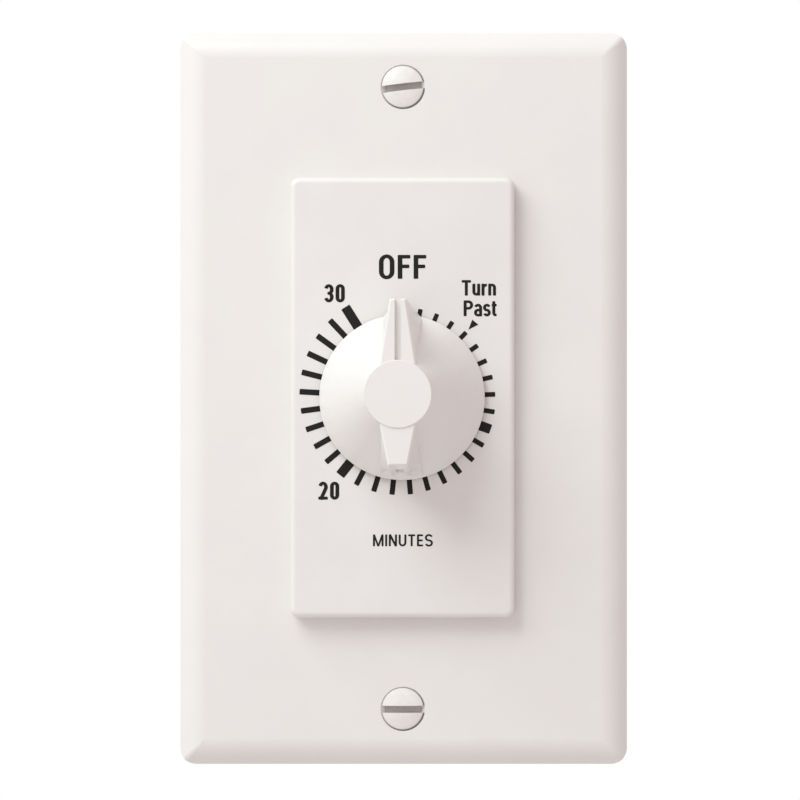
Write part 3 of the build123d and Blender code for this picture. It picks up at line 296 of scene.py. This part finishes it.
threaded_zinc, tree, shader, place = new_material("zinc_plated_thread", Metallic=1.0)
finish_with(
    tree,
    shader,
    mottle(tree, place, 1.2 * mm, ("#B0B2B3", "#C9CBCB")),
    roughened(tree, place, 0.9 * mm, least=0.24, most=0.34),
)


def joined(name, forms):
    """One mesh that holds several forms."""
    whole = bmesh.new()
    for form in forms:
        part = bpy.data.meshes.new(name)
        form.to_mesh(part)
        form.free()
        whole.from_mesh(part)
        bpy.data.meshes.remove(part)
    mesh = bpy.data.meshes.new(name)
    whole.to_mesh(mesh)
    whole.free()
    return mesh


def combined(name, form, others, operation):
    """A new object from one form, and the others joined to it or cut from it."""
    piece = bpy.data.objects.new(name, joined(name, [form]))
    bpy.context.scene.collection.objects.link(piece)
    if others:
        tool = bpy.data.objects.new("tool", joined("tool", others))
        bpy.context.scene.collection.objects.link(tool)
        change = piece.modifiers.new("change", "BOOLEAN")
        change.operation = operation
        change.solver = "EXACT"
        change.use_self = True
        change.object = tool
        whole = piece.evaluated_get(bpy.context.evaluated_depsgraph_get())
        piece.data = bpy.data.meshes.new_from_object(whole)
        piece.modifiers.clear()
        bpy.data.objects.remove(tool)
    piece.data.materials.clear()
    return piece


grooves = []
groove_steps = round((box_thread_end - box_thread_start) / thread_pitch * turn_steps)
for level in (box_screw_level, -box_screw_level):
    groove = bmesh.new()
    groove_corners = (
        (box_shank_radius + thread_over, box_thread_start - thread_half_width, level),
        (box_shank_radius + thread_over, box_thread_start + thread_half_width, level),
        (box_shank_radius - thread_depth, box_thread_start, level),
    )
    bmesh.ops.contextual_create(
        groove, geom=[groove.verts.new(corner) for corner in groove_corners]
    )
    bmesh.ops.spin(
        groove,
        geom=groove.verts[:] + groove.edges[:] + groove.faces[:],
        cent=(0, 0, level),
        axis=(0, 1, 0),
        dvec=(0, thread_pitch / turn_steps, 0),
        angle=2 * pi * groove_steps / turn_steps,
        steps=groove_steps,
        use_duplicate=False,
    )
    bmesh.ops.recalc_face_normals(groove, faces=groove.faces)
    bmesh.ops.rotate(
        groove,
        verts=groove.verts,
        cent=(0, 0, level),
        matrix=Matrix.Rotation(groove_turn, 3, "Y"),
    )
    grooves.append(groove)

shanks = bmesh.new()
shanks.from_mesh(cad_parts["box_screws"].data)
bmesh.ops.remove_doubles(shanks, verts=shanks.verts, dist=merge_gap)
box_screws = combined("box_screws_threaded", shanks, grooves, "DIFFERENCE")
box_screws.data.shade_smooth()
box_screws.data.set_sharp_from_angle(angle=sharp_angle)
box_screws.data.materials.append(threaded_zinc)
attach(box_screws, "switch_body")
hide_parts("box_screws")

# Ground screw: the strap's binding screw for the ground wire. It is steel, zinc plated and dyed
# green, with the dye thinner in soft patches.
green, tree, shader, place = new_material("green_dyed_zinc", Metallic=0.55, Coat_Weight=0.2)
finish_with(
    tree,
    shader,
    mottle(tree, place, 1.2 * mm, ("#17552A", "#2C7A3E")),
    roughened(tree, place, 0.8 * mm, least=0.3, most=0.45),
    grain(tree, place, 0.3 * mm, height=0.005 * mm),
)
dress("ground_screw", green)

# Dial plate: moulded in the same white thermoplastic as the wall plate, and printed on its face in
# one colour of dark ink, by a pad that leaves a thin even film. The places and widths of the marks
# are in millimetres on that face.
dial_whites = ("#E5E0DD", "#E8E4E1")
dress(
    "dial_plate",
    moulded_white("satin_white_dial_thermoplastic", dial_whites, least=0.36, most=0.42),
)

ink_face = 9.0 * mm
ink_film = 0.03 * mm
ink_root = 0.02 * mm
ink_round = 0.13 * mm
bow_steps = 20

ink, tree, shader, place = new_material("dark_printing_ink", IOR=1.45, Specular_IOR_Level=0.25)
finish_with(
    tree,
    shader,
    mottle(tree, place, 0.6 * mm, ("#141211", "#1B1817")),
    roughened(tree, place, 0.5 * mm, least=0.6, most=0.72),
)


def printed(name, strokes):
    """One printed mark: each flat stroke raised by the film of ink, and all joined in one."""
    for stroke in strokes:
        film = bmesh.ops.extrude_face_region(stroke, geom=stroke.faces[:])
        raised = [v for v in film["geom"] if isinstance(v, bmesh.types.BMVert)]
        bmesh.ops.translate(stroke, verts=raised, vec=(0, -ink_film - ink_root, 0))
        bmesh.ops.recalc_face_normals(stroke, faces=stroke.faces)
    piece = combined(name, strokes[0], strokes[1:], "UNION")
    piece.data.materials.append(ink)
    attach(piece, "switch_body")


def ink_plane(x, z):
    """A place on the dial's face, sunk by the film's root, from millimetres."""
    return Vector((x * mm, -ink_face + ink_root, z * mm))


def softened(form):
    """A flat stroke with the corners of its ends a little rounded, as printed ink has them."""
    corners = [v for v in form.verts if len(v.link_edges) == 2]
    bmesh.ops.bevel(
        form,
        geom=corners,
        offset=ink_round,
        segments=3,
        profile=0.5,
        affect="VERTICES",
        material=-1,
    )
    return form


def bar(start, end, width):
    """A straight stroke between two places in the dial's plane."""
    form = bmesh.new()
    across = (Vector(end) - Vector(start)).normalized().orthogonal() * width / 2
    corners = (
        (start[0] + across.x, start[1] + across.y),
        (start[0] - across.x, start[1] - across.y),
        (end[0] - across.x, end[1] - across.y),
        (end[0] + across.x, end[1] + across.y),
    )
    bmesh.ops.contextual_create(form, geom=[form.verts.new(ink_plane(*c)) for c in corners])
    return softened(form)


def bow(middle, outer, inner, start, sweep):
    """A curved stroke round a middle, between two ellipses, from a start angle in degrees."""
    form = bmesh.new()
    near, far = 1, 2
    inside = form.verts.new((near, 0, 0))
    outside = form.verts.new((far, 0, 0))
    edge = form.edges.new((inside, outside))
    turn = Matrix.Rotation(radians(-start), 3, "Y")
    bmesh.ops.rotate(form, verts=form.verts, cent=(0, 0, 0), matrix=turn)
    bmesh.ops.spin(
        form,
        geom=[inside, outside, edge],
        cent=(0, 0, 0),
        axis=(0, -1, 0),
        angle=radians(sweep),
        steps=bow_steps,
        use_duplicate=False,
    )
    for vert in form.verts:
        way = vert.co.normalized()
        reach = inner if vert.co.length < (near + far) / 2 else outer
        vert.co = ink_plane(middle[0] + way.x * reach[0], middle[1] + way.z * reach[1])
    return softened(form)


# Minute scale: one tick a minute, a little longer and heavier as the minutes go up, and a broad
# tick at each ten. All are printed with the words, in the same ink.
minutes = 30
minute_turn = 10.9
first_turn = 0.8
tick_start = 11.94
tick_reach = 13.92
tick_growth = 0.045
tick_swell = 0.0014
tick_width = 0.68
tick_broadening = 0.008
broad_tick_every = 10
broad_tick_width = 1.5
ticks = []
for minute in range(1, minutes + 1):
    turn = radians(first_turn + minute * minute_turn)
    broad = minute % broad_tick_every == 0
    width = broad_tick_width if broad else tick_width + tick_broadening * minute
    tick_end = tick_reach + tick_growth * minute + tick_swell * minute * minute
    ticks.append(
        bar(
            (tick_start * sin(turn), tick_start * cos(turn)),
            (tick_end * sin(turn), tick_end * cos(turn)),
            width,
        )
    )
printed("minute_ticks", ticks)

# Words and numbers of the scale: bold condensed letters with rounded corners, each built of its own
# strokes, which lap where they meet. A letter's width is a share of the height of its capitals.
letter_width_shares = {
    "O": 0.65, "F": 0.53, "3": 0.547, "2": 0.55, "0": 0.53, "T": 0.603, "u": 0.506, "r": 0.346,
    "n": 0.503, "P": 0.603, "a": 0.514, "s": 0.492, "t": 0.32, "M": 0.883, "I": 0.158, "N": 0.683,
    "U": 0.642, "E": 0.517, "S": 0.67,
}
low_letter_share = 0.77
tee_share = 0.95
overshoot_share = 0.02
stroke_lap = 0.18
least_reach = 0.01


def strokes_of(letter, x0, z0, z1, stem, arm):
    """The strokes of one letter from its left edge, foot and capital height."""
    x1 = x0 + letter_width_shares[letter] * (z1 - z0)
    if letter in "urnas":
        z1 = z0 + low_letter_share * (z1 - z0)
    if letter == "t":
        z1 = z0 + tee_share * (z1 - z0)
    if letter in "O032aSs":
        over = overshoot_share * (z1 - z0)
        z0, z1 = z0 - over, z1 + over
    width, height = x1 - x0, z1 - z0
    xm, zm = (x0 + x1) / 2, (z0 + z1) / 2

    def post(x, low=z0, high=z1):
        return bar((x, low), (x, high), stem)

    def beam(z, start=x0, end=x1):
        return bar((start, z), (end, z), arm)

    def bend(x, z, reach_x, reach_z, start, sweep):
        inner = (max(reach_x - stem, least_reach), max(reach_z - arm, least_reach))
        return bow((x, z), (reach_x, reach_z), inner, start, sweep)

    half = width / 2
    lx, rx = x0 + stem / 2, x1 - stem / 2
    top_z, foot_z = z1 - arm / 2, z0 + arm / 2
    if letter in "O0":
        round_share = 0.42
        round_z = min(round_share * height, half)
        return [
            bend(xm, z1 - round_z, half, round_z, start=0, sweep=180),
            bend(xm, z0 + round_z, half, round_z, start=180, sweep=180),
            post(lx, z0 + round_z - stroke_lap, z1 - round_z + stroke_lap),
            post(rx, z0 + round_z - stroke_lap, z1 - round_z + stroke_lap),
        ]
    if letter == "F":
        rise_share, short_share = 0.02, 0.08
        return [
            post(lx),
            beam(top_z),
            beam(zm + rise_share * height, x0, x1 - short_share * width),
        ]
    if letter == "E":
        short_share = 0.06
        return [post(lx), beam(top_z), beam(zm, x0, x1 - short_share * width), beam(foot_z)]
    if letter == "T":
        return [post(xm), beam(top_z)]
    if letter == "I":
        return [post(xm)]
    if letter == "M":
        slant_share = 0.9
        return [
            post(lx),
            post(rx),
            bar((lx, z1), (xm, z0), slant_share * stem),
            bar((rx, z1), (xm, z0), slant_share * stem),
        ]
    if letter == "N":
        slant_share = 1.05
        return [post(lx), post(rx), bar((lx, z1), (rx, z0), slant_share * stem)]
    if letter in "Uu":
        bottom = z0 + half
        foot = bottom - stroke_lap
        return [
            bend(xm, bottom, half, half, start=180, sweep=180),
            post(lx, foot),
            post(rx, z0 if letter == "u" else foot),
        ]
    if letter == "n":
        crown = z1 - half
        return [
            bend(xm, crown, half, half, start=0, sweep=180),
            post(lx),
            post(rx, z0, crown + stroke_lap),
        ]
    if letter == "r":
        dip_share = 0.2
        dip = arm * dip_share
        return [
            post(lx),
            bend(x1, z1 - width + dip, width, width - dip, start=90, sweep=75),
        ]
    if letter == "P":
        bowl_share = 0.29
        bowl = bowl_share * height
        return [
            post(lx),
            beam(top_z, x0, x1 - bowl + stroke_lap),
            beam(z1 - 2 * bowl + arm / 2, x0, x1 - bowl + stroke_lap),
            bend(x1 - bowl, z1 - bowl, bowl, bowl, start=-90, sweep=180),
        ]
    if letter == "t":
        hook_share, post_share, beam_share = 0.62, 0.42, 0.74
        hook = hook_share * width
        post_x = x0 + post_share * width
        return [
            post(post_x, z0 + hook - stroke_lap),
            beam(z0 + beam_share * height),
            beam(foot_z, post_x),
            bend(post_x - stem / 2 + hook, z0 + hook, hook, hook, start=180, sweep=90),
        ]
    if letter == "a":
        bowl_share = 0.3
        bowl = bowl_share * height
        bowl_x = x0 + bowl
        crown = z1 - half
        return [
            bend(xm, crown, half, half, start=0, sweep=160),
            post(rx, z0, crown + stroke_lap),
            bend(bowl_x, z0 + bowl, bowl, bowl, start=90, sweep=180),
            beam(z0 + 2 * bowl - arm / 2, bowl_x - stroke_lap, rx),
            beam(foot_z, bowl_x - stroke_lap, rx),
        ]
    if letter in "sS":
        lobe = (height + arm) / 4
        return [
            bend(xm, z1 - lobe, half, lobe, start=20, sweep=256),
            bend(xm, z0 + lobe, half, lobe, start=96, sweep=-256),
        ]
    if letter == "3":
        nub_share = 0.15
        lobe = (height + arm) / 4
        return [
            bend(xm, z1 - lobe, half, lobe, start=-90, sweep=255),
            bend(xm, z0 + lobe, half, lobe, start=90, sweep=-255),
            beam(zm, xm - nub_share * width, xm + nub_share * width),
        ]
    if letter == "2":
        lobe_share, neck_in_share, neck_up_share = 0.3, 0.04, 0.05
        foot_in_share, neck_stem_share = 0.05, 0.96
        neck = radians(-40)
        lobe = lobe_share * height
        neck_x = xm + (half - stem / 2) * cos(neck)
        neck_z = z1 - lobe + (lobe - arm / 2) * sin(neck)
        return [
            bend(xm, z1 - lobe, half, lobe, start=-48, sweep=213),
            bar(
                (neck_x + neck_in_share * width, neck_z + neck_up_share * height),
                (lx + foot_in_share * width, z0),
                neck_stem_share * stem,
            ),
            beam(foot_z),
        ]


def word(letters, left, right, foot, top, stem, arm):
    """The strokes of a word, its letters spread evenly between its left and right edges."""
    widths = [letter_width_shares[letter] * (top - foot) for letter in letters]
    gap = (right - left - sum(widths)) / (len(letters) - 1)
    strokes = []
    for letter, width in zip(letters, widths):
        strokes += strokes_of(letter, left, foot, top, stem, arm)
        left += width + gap
    return strokes


off_left, off_right, off_foot, off_top = -3.62, 3.7, 18.36, 22.05
off_stem, off_arm = 0.72, 0.55
printed("off_legend", word("OFF", off_left, off_right, off_foot, off_top, off_stem, off_arm))

number_stem, number_arm = 0.58, 0.47
thirty_left, thirty_right, thirty_foot, thirty_top = -12.1, -8.89, 14.77, 17.47
printed(
    "thirty_number",
    word("30", thirty_left, thirty_right, thirty_foot, thirty_top, number_stem, number_arm),
)
twenty_left, twenty_right, twenty_foot, twenty_top = -12.99, -9.76, -15.73, -13.06
printed(
    "twenty_number",
    word("20", twenty_left, twenty_right, twenty_foot, twenty_top, number_stem, number_arm),
)

hint_stem, hint_arm = 0.47, 0.39
turn_left, turn_right, turn_foot, turn_top = 9.17, 14.48, 15.76, 18.16
printed(
    "turn_legend",
    word("Turn", turn_left, turn_right, turn_foot, turn_top, hint_stem, hint_arm),
)
past_left, past_right, past_foot, past_top = 9.47, 14.59, 12.58, 15.02
printed(
    "past_legend",
    word("Past", past_left, past_right, past_foot, past_top, hint_stem, hint_arm),
)

minutes_left, minutes_right, minutes_foot, minutes_top = -4.54, 4.72, -23.0, -21.15
minutes_stem, minutes_arm = 0.31, 0.28
printed(
    "minutes_legend",
    word(
        "MINUTES",
        minutes_left,
        minutes_right,
        minutes_foot,
        minutes_top,
        minutes_stem,
        minutes_arm,
    ),
)

# Arrow head: a small filled triangle, printed with the words beside it. It marks where the knob has
# to be turned past.
arrow_back, arrow_side, arrow_tip = (10.8, 12.04), (11.75, 11.27), (10.22, 10.5)
arrow = bmesh.new()
bmesh.ops.contextual_create(
    arrow,
    geom=[arrow.verts.new(ink_plane(*corner)) for corner in (arrow_back, arrow_side, arrow_tip)],
)
printed("turn_past_arrow", [arrow])

# Knob: a tapered cap with a pointer and a short tail, moulded in the same white thermoplastic as
# the plates, and a shade brighter where hands have polished it.
knob_whites = ("#EAE6E2", "#ECE8E5")
dress(
    "timer_knob",
    moulded_white("satin_white_knob_thermoplastic", knob_whites, least=0.3, most=0.38),
)

# Spring steel parts: the knob's clip, the arbor's retaining clip, the mainspring and the click
# spring. The strip is hardened and blued, and the blue goes over to grey in patches along it.
blued, tree, shader, place = new_material("blued_spring_strip", Metallic=1.0)
finish_with(
    tree,
    shader,
    mottle(tree, place, 2 * mm, ("#343B47", "#4A4A4C"), stretch=(1, 0.3, 1)),
    roughened(tree, place, 1.5 * mm, least=0.25, most=0.4),
    grain(tree, place, 0.2 * mm, height=0.003 * mm, stretch=(1, 0.1, 1)),
)
for node in ("knob_spring_clip", "arbor_clip", "mainspring", "click_spring"):
    dress(node, blued)

# Turned steel: the winding arbor, the spring post, the ratchet and its click, the pinions and the
# verge's staff and pins. They are cut from bright bar, with fine turning marks round them.
turned_steel, tree, shader, place = new_material("bright_turned_steel", Metallic=1.0)
finish_with(
    tree,
    shader,
    mottle(tree, place, 1.5 * mm, ("#9A9B9D", "#B9BABC"), stretch=(1, 4, 1)),
    roughened(tree, place, 0.8 * mm, least=0.2, most=0.34, stretch=(1, 5, 1)),
    grain(tree, place, 0.35 * mm, height=0.005 * mm, stretch=(0.2, 3, 0.2)),
)
for node in (
    "winding_arbor", "spring_post", "ratchet_wheel", "click", "second_pinion",
    "third_pinion", "escape_pinion", "verge_staff", "verge_pins",
):
    dress(node, turned_steel)

# Brass wheels, verge arm, balance bar and terminal plates: blanked from rolled brass sheet, a warm
# yellow with a fine grain and a little tarnish.
sheet_brass, tree, shader, place = new_material("rolled_sheet_brass", Metallic=1.0)
finish_with(
    tree,
    shader,
    mottle(tree, place, 3 * mm, ("#B98F45", "#D3AE63"), detail=4.0),
    roughened(tree, place, 1.2 * mm, least=0.24, most=0.4),
    grain(tree, place, 0.25 * mm, height=0.003 * mm, stretch=(1, 1, 0.15)),
)
for node in (
    "great_wheel", "second_wheel", "third_wheel", "escape_wheel",
    "verge_arm", "balance_bar", "line_terminal", "load_terminal",
):
    dress(node, sheet_brass)

# Turned brass: the movement's pillars, the click's rivets and the terminals' binding screws. They
# are cut from rod and brighter than the sheet, with fine turning marks round them.
turned_brass, tree, shader, place = new_material("turned_brass_rod", Metallic=1.0)
finish_with(
    tree,
    shader,
    mottle(tree, place, 1.2 * mm, ("#C39A4E", "#DDBA70"), stretch=(1, 4, 1)),
    roughened(tree, place, 0.8 * mm, least=0.2, most=0.32),
    grain(tree, place, 0.3 * mm, height=0.004 * mm, stretch=(0.2, 3, 0.2)),
)
for node in ("movement_pillars", "click_rivets", "terminal_screws"):
    dress(node, turned_brass)

# Switch: a cam of natural nylon, a contact block of brown phenolic, a blade of phosphor bronze and
# contacts faced with silver.
nylon_glow = (0.6 * mm, 0.5 * mm, 0.4 * mm)
nylon, tree, shader, place = new_material(
    "natural_nylon", IOR=1.53, Subsurface_Weight=0.15, Subsurface_Radius=nylon_glow
)
finish_with(
    tree,
    shader,
    mottle(tree, place, 3 * mm, ("#D2C9B2", "#DDD5C1")),
    roughened(tree, place, 1.5 * mm, least=0.42, most=0.55),
    grain(tree, place, 0.4 * mm, height=0.006 * mm),
)
dress("switch_cam", nylon)

phenolic, tree, shader, place = new_material("brown_phenolic", IOR=1.58)
finish_with(
    tree,
    shader,
    mottle(tree, place, 1.5 * mm, ("#4A2A18", "#6A4022"), detail=6.0),
    roughened(tree, place, 1.2 * mm, least=0.38, most=0.55),
    grain(tree, place, 0.3 * mm, height=0.008 * mm),
)
dress("contact_block", phenolic)

bronze, tree, shader, place = new_material("phosphor_bronze_strip", Metallic=1.0)
finish_with(
    tree,
    shader,
    mottle(tree, place, 2 * mm, ("#B9794A", "#D19664"), stretch=(0.3, 1, 1)),
    roughened(tree, place, 1 * mm, least=0.22, most=0.34, stretch=(0.2, 1, 1)),
)
dress("moving_blade", bronze)

silver, tree, shader, place = new_material("silver_contact_face", Metallic=1.0)
finish_with(
    tree,
    shader,
    mottle(tree, place, 0.6 * mm, ("#CFCFCB", "#E3E2DD")),
    roughened(tree, place, 0.4 * mm, least=0.18, most=0.3),
)
dress("moving_contact", silver)
dress("fixed_contact", silver)

# Rear case: compression moulded in black thermoset, semi-matt, with the fine speckle and flow of
# the filler in its skin.
thermoset, tree, shader, place = new_material("black_thermoset", IOR=1.55)
finish_with(
    tree,
    shader,
    mottle(tree, place, 1.2 * mm, ("#1E1D1C", "#2B2927"), detail=6.0),
    roughened(tree, place, 3 * mm, least=0.38, most=0.55),
    grain(tree, place, 0.35 * mm, height=0.012 * mm),
)
dress("rear_case", thermoset)

# Studio: a pale paper floor well below, a broad soft lamp at the upper left, and an even room. The
# room looks pure white to the eye and in gloss, and is dimmer where it only lights the object.
floor_drop = 0.3
floor_half = 0.75
form = bmesh.new()
bmesh.ops.create_grid(form, x_segments=1, y_segments=1, size=floor_half)
bmesh.ops.translate(form, verts=form.verts, vec=(0, 0, -floor_drop))
mesh = bpy.data.meshes.new("studio_floor")
form.to_mesh(mesh)
form.free()
floor = bpy.data.objects.new("studio_floor", mesh)
bpy.context.scene.collection.objects.link(floor)
paper, tree, shader, place = new_material("pale_paper_floor", Roughness=0.9)
finish_with(tree, shader, mottle(tree, place, 60 * mm, ("#E9E7E5", "#EBE9E7")))
mesh.materials.append(paper)

world = bpy.data.worlds.new("white_room")
bpy.context.scene.world = world
world.use_nodes = True
tree = world.node_tree
seen = add_node(tree, "ShaderNodeLightPath")
mirrored = add_node(
    tree,
    "ShaderNodeMath",
    links={0: seen.outputs["Is Camera Ray"], 1: seen.outputs["Is Glossy Ray"]},
    operation="MAXIMUM",
)
through = add_node(
    tree,
    "ShaderNodeMath",
    links={0: mirrored.outputs[0], 1: seen.outputs["Is Transmission Ray"]},
    operation="MAXIMUM",
)
room_light = 0.669
room_tint = (1.0, 0.899, 0.906, 1.0)
lit = tree.nodes["Background"]
lit.inputs["Color"].default_value = room_tint
lit.inputs["Strength"].default_value = room_light
shown = add_node(tree, "ShaderNodeBackground", {"Color": (1, 1, 1, 1), "Strength": 1.0})
either = add_node(
    tree,
    "ShaderNodeMixShader",
    links={0: through.outputs[0], 1: lit.outputs[0], 2: shown.outputs[0]},
)
tree.links.new(either.outputs[0], tree.nodes["World Output"].inputs["Surface"])

lamp_way = Vector((-0.49, -0.52, 0.7)).normalized()
lamp_distance = 0.85
lamp_width = 0.6
lamp_power = 5.61
lamp_tint = (0.85, 0.989, 1.0)
lamp = bpy.data.lights.new("key_softbox", "AREA")
lamp.shape = "SQUARE"
lamp.size = lamp_width
lamp.energy = lamp_power
lamp.color = lamp_tint
lamp_stand = bpy.data.objects.new("key_softbox", lamp)
lamp_stand.location = lamp_way * lamp_distance
lamp_stand.rotation_euler = lamp_way.to_track_quat("Z", "Y").to_euler()
bpy.context.scene.collection.objects.link(lamp_stand)

# Camera: square to the wall, a little right of the switch and below its middle, with the lens
# shifted to put the switch where the photograph has it. The frame is 800 pixels each way.
eye = Vector((17.0 * mm, -440 * mm, -13.0 * mm))
frame_pixels = 800
focal_pixels = 2788
side_shift_pixels = 112.3
fall_shift_pixels = 81.65
lens_width = 36
nearest_seen = 0.01
camera = bpy.data.cameras.new("camera")
camera.sensor_width = lens_width
camera.lens = lens_width * focal_pixels / frame_pixels
camera.shift_x = -side_shift_pixels / frame_pixels
camera.shift_y = fall_shift_pixels / frame_pixels
camera.clip_start = nearest_seen
camera_stand = bpy.data.objects.new("camera", camera)
camera_stand.location = eye
camera_stand.rotation_euler = (pi / 2, 0, 0)
bpy.context.scene.collection.objects.link(camera_stand)
bpy.context.scene.camera = camera_stand
bpy.context.scene.view_settings.view_transform = "Standard"
